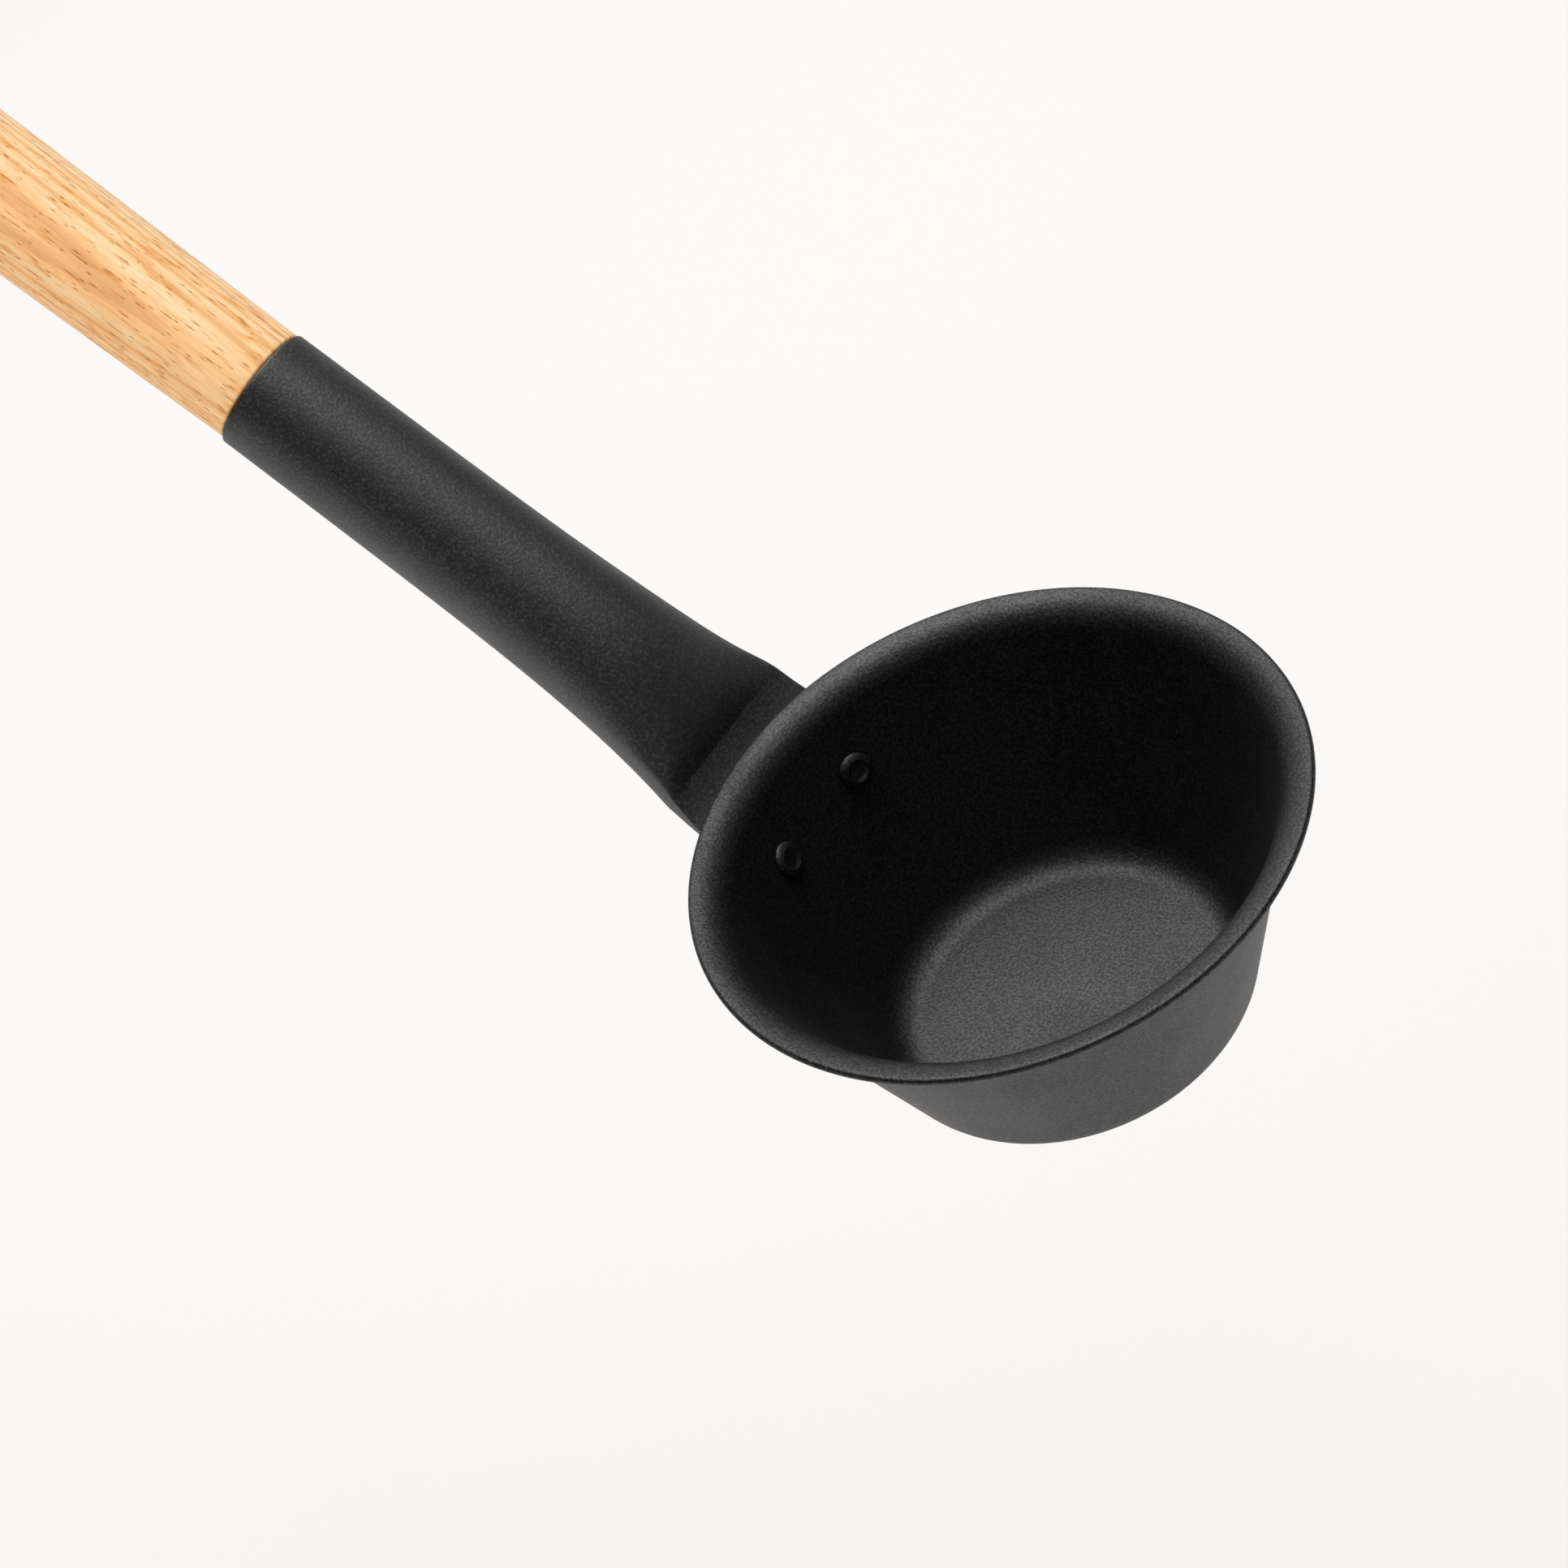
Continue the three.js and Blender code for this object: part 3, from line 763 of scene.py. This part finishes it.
    # Sheen and relief
    satin = add(
        tree, "ShaderNodeMapRange", {"Value": fibres, "To Min": SATIN[0], "To Max": SATIN[1]}
    ).outputs["Result"]
    dulled = add(
        tree, "ShaderNodeMath", {0: pores, 1: PORE_DULLNESS, 2: satin}, operation="MULTIPLY_ADD"
    ).outputs[0]
    relief = add(tree, "ShaderNodeMath", {0: pores, 1: fibre_shade}, operation="ADD").outputs[0]
    skin = add(
        tree,
        "ShaderNodeBump",
        {"Height": relief, "Strength": 1, "Distance": PORE_DEPTH * MM},
        invert=True,
    )
    tree.links.new(pored, shader.inputs["Base Color"])
    tree.links.new(dulled, shader.inputs["Roughness"])
    tree.links.new(skin.outputs["Normal"], shader.inputs["Normal"])
    shader.inputs["Specular IOR Level"].default_value = 0.25
    return material


def zinc_plated_steel():
    """Steel with a thin bright zinc plating: a grey metal with a soft cloudy gloss."""
    material, tree, shader = blank("zinc_plated_steel")
    place = add(tree, "ShaderNodeTexCoord", {}).outputs["Object"]
    clouds = add(
        tree, "ShaderNodeTexNoise", {"Vector": place, "Scale": per_mm(ZINC_CLOUD), "Detail": 3}
    ).outputs["Fac"]
    tint = add(tree, "ShaderNodeValToRGB", {"Fac": clouds})
    for stop, colour in zip(tint.color_ramp.elements, ("#a9adb2", "#c6c9cc")):
        stop.color = linear(colour)
    gloss_change = add(
        tree, "ShaderNodeMapRange", {"Value": clouds, "To Min": ZINC_SATIN[0], "To Max": ZINC_SATIN[1]}
    )
    tree.links.new(tint.outputs["Color"], shader.inputs["Base Color"])
    tree.links.new(gloss_change.outputs["Result"], shader.inputs["Roughness"])
    shader.inputs["Metallic"].default_value = 1
    return material


# Non-stick coating, sprayed and baked on aluminium: nearly black; its tiny beads glint grey in the light
# through their gloss and through a painted highlight on their tops
coating = matte_black(
    "sprayed_nonstick_coating",
    dark="#010101",
    pale="#0e0e10",
    ior=1.53,
    roughness=0.535,
    gloss=0.7,
    glint=0.3,
)
# Nylon, moulded in a spark-eroded tool: a softer charcoal with a dull sheen; the even pebbles' paler tops
# are a painted highlight
nylon = matte_black(
    "spark_textured_nylon",
    dark="#040405",
    pale="#28282a",
    ior=1.6,
    roughness=0.58,
    gloss=1,
    glint=0.1,
)
wood = oiled_rubberwood()
zinc = zinc_plated_steel()


def dressed(piece, material, slot, *nodes):
    """Smooth but for its real edges, with its finish, in place of its CAD nodes."""
    piece.data.shade_smooth()
    piece.data.set_sharp_from_angle(angle=SHARP_EDGE)
    piece.data.materials.clear()
    piece.data.materials.append(material)
    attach(piece, "root")
    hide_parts(*nodes)


dressed(pressed_bowl(), coating, "coated_bowl", "bowl")
dressed(moulded_neck(), nylon, "moulded_neck", "neck_moulding")
dressed(turned_handle(), wood, "turned_wood", "handle")
for side in rivet_places:
    dressed(set_rivet(side), coating, "coated_rivet", f"rivet_{side}")
    dressed(tail_washer(side), zinc, "plain_steel", f"rivet_washer_{side}")

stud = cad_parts["handle_stud"]
stud.data.materials.clear()
stud.data.materials.append(zinc)

# Camera

camera = bpy.data.objects.new("photo_camera", bpy.data.cameras.new("photo_camera"))
camera.data.sensor_width = SENSOR
camera.data.lens = SENSOR * FOCAL_LENGTH / PHOTO_SIDE
camera.data.clip_start = CLIP_START * MM
right = (CAMERA_RIGHT - CAMERA_RIGHT.dot(CAMERA_FORWARD) * CAMERA_FORWARD).normalized()
up = right.cross(CAMERA_FORWARD)
camera_turn = Matrix((right, up, -CAMERA_FORWARD)).transposed().to_4x4()
camera.matrix_world = Matrix.Translation(Vector(CAMERA_PLACE) * MM) @ camera_turn
bpy.context.scene.collection.objects.link(camera)
bpy.context.scene.camera = camera

# Floor, light and background

BACKDROP = "#fcfaf9"
BACKDROP_SIDE = Vector((-0.8, 0.57, 0.1)).normalized()  # the white backdrop hangs behind
BACKDROP_EDGE = (0.75, 0.98)  # cosines off that side at which a gloss loses it and sees all of it
FLOOR_DROP = 260  # the ladle is held well above the floor
FLOOR_HALF = 6000
FLOOR_FADE = (800, 2400)  # from the ladle's foot outwards, the floor goes over into the backdrop
LAMP_AIM = Vector((-50, 0, 60))
LAMP_DISTANCE = 2000
LAMP_SIDE = 1450
WINDOW_SIDE = Vector((-0.1, -0.95, 0.05)).normalized()  # the room's own light comes mostly from here
ROOM_LEVEL = (0.36, 1.26)  # that light, from all round and from this side
ROOM_GLOSS = 0.015  # the dark room in front, as a gloss shows it


def white_paper():
    """White paper, uncoated: dull and even, it keeps a soft shadow and goes over into the backdrop."""
    material, tree, shader = blank("white_paper_floor")
    shader.inputs["Base Color"].default_value = linear("#e5e4e3")
    shader.inputs["Roughness"].default_value = 0.9
    shader.inputs["Specular IOR Level"].default_value = 0
    place = add(tree, "ShaderNodeTexCoord", {}).outputs["Object"]
    reach = add(tree, "ShaderNodeVectorMath", {0: place}, operation="LENGTH").outputs["Value"]
    fade = add(
        tree,
        "ShaderNodeMapRange",
        {"Value": reach, "From Min": FLOOR_FADE[0] * MM, "From Max": FLOOR_FADE[1] * MM},
        interpolation_type="SMOOTHSTEP",
    ).outputs["Result"]
    rays = add(tree, "ShaderNodeLightPath", {}).outputs
    mirrored = add(
        tree,
        "ShaderNodeMath",
        {0: rays["Is Glossy Ray"], 1: rays["Is Transmission Ray"]},
        operation="MAXIMUM",
    ).outputs[0]
    seen = add(
        tree, "ShaderNodeMath", {0: rays["Is Camera Ray"], 1: mirrored}, operation="MAXIMUM"
    ).outputs[0]
    backdrop_share = add(tree, "ShaderNodeMath", {0: fade, 1: seen}, operation="MULTIPLY").outputs[0]
    backdrop = add(tree, "ShaderNodeEmission", {"Color": linear(BACKDROP), "Strength": 1})
    surface = add(
        tree,
        "ShaderNodeMixShader",
        {0: backdrop_share, 1: shader.outputs["BSDF"], 2: backdrop.outputs["Emission"]},
    )
    tree.links.new(surface.outputs["Shader"], tree.nodes["Material Output"].inputs["Surface"])
    return material


floor_shape = bmesh.new()
corners = [(FLOOR_HALF * x, FLOOR_HALF * y, -FLOOR_DROP) for x, y in ((-1, -1), (1, -1), (1, 1), (-1, 1))]
floor_shape.faces.new([floor_shape.verts.new(corner) for corner in corners])
floor = made("studio_floor", floor_shape)
floor.data.materials.append(white_paper())


def soft_light(name, direction, level):
    """A square soft box. Its level is the brightness that it alone gives a white surface facing it."""
    lamp = bpy.data.lights.new(name, "AREA")
    lamp.size = LAMP_SIDE * MM
    lamp.energy = level * math.pi**2 * (LAMP_DISTANCE * MM) ** 2
    lamp_object = bpy.data.objects.new(name, lamp)
    towards = Vector(direction).normalized()
    lamp_object.location = (LAMP_AIM + towards * LAMP_DISTANCE) * MM
    lamp_object.rotation_mode = "QUATERNION"
    lamp_object.rotation_quaternion = towards.to_track_quat("Z", "Y")
    bpy.context.scene.collection.objects.link(lamp_object)


soft_light("overhead_back", (-0.355, 0.256, 0.899), 0.42)
soft_light("overhead", (-0.125, 0.207, 0.97), 0.56)
soft_light("overhead_right", (0.399, 0.18, 0.899), 0.04)

# World: white all round for the camera, white only behind in a gloss, and the room's light on dull surfaces
world = bpy.data.worlds.new("white_studio")
world.use_nodes = True
world.cycles.sampling_method = "NONE"  # so that the kind of ray holds for all light from the world
bpy.context.scene.world = world
room = world.node_tree
rays = add(room, "ShaderNodeLightPath", {}).outputs
mirrored = add(
    room,
    "ShaderNodeMath",
    {0: rays["Is Glossy Ray"], 1: rays["Is Transmission Ray"]},
    operation="MAXIMUM",
).outputs[0]
direction = add(room, "ShaderNodeTexCoord", {}).outputs["Generated"]
behind = add(
    room, "ShaderNodeVectorMath", {0: direction, 1: BACKDROP_SIDE}, operation="DOT_PRODUCT"
).outputs["Value"]
backdrop = add(
    room,
    "ShaderNodeMapRange",
    {
        "Value": behind,
        "From Min": BACKDROP_EDGE[0],
        "From Max": BACKDROP_EDGE[1],
        "To Min": ROOM_GLOSS,
    },
    interpolation_type="SMOOTHSTEP",
).outputs["Result"]
in_gloss = add(room, "ShaderNodeMath", {0: mirrored, 1: backdrop}, operation="MULTIPLY").outputs[0]
window = add(
    room, "ShaderNodeVectorMath", {0: direction, 1: WINDOW_SIDE}, operation="DOT_PRODUCT"
).outputs["Value"]
room_light = add(
    room, "ShaderNodeMapRange", {"Value": window, "To Min": ROOM_LEVEL[0], "To Max": ROOM_LEVEL[1]}
).outputs["Result"]
as_light = add(
    room, "ShaderNodeMath", {0: rays["Is Diffuse Ray"], 1: room_light}, operation="MULTIPLY"
).outputs[0]
shown = add(
    room, "ShaderNodeMath", {0: in_gloss, 1: rays["Is Camera Ray"]}, operation="MAXIMUM"
).outputs[0]
strength = add(room, "ShaderNodeMath", {0: shown, 1: as_light}, operation="MAXIMUM").outputs[0]
background = room.nodes["Background"]
background.inputs["Color"].default_value = linear(BACKDROP)
room.links.new(strength, background.inputs["Strength"])

bpy.context.scene.view_settings.view_transform = "Standard"
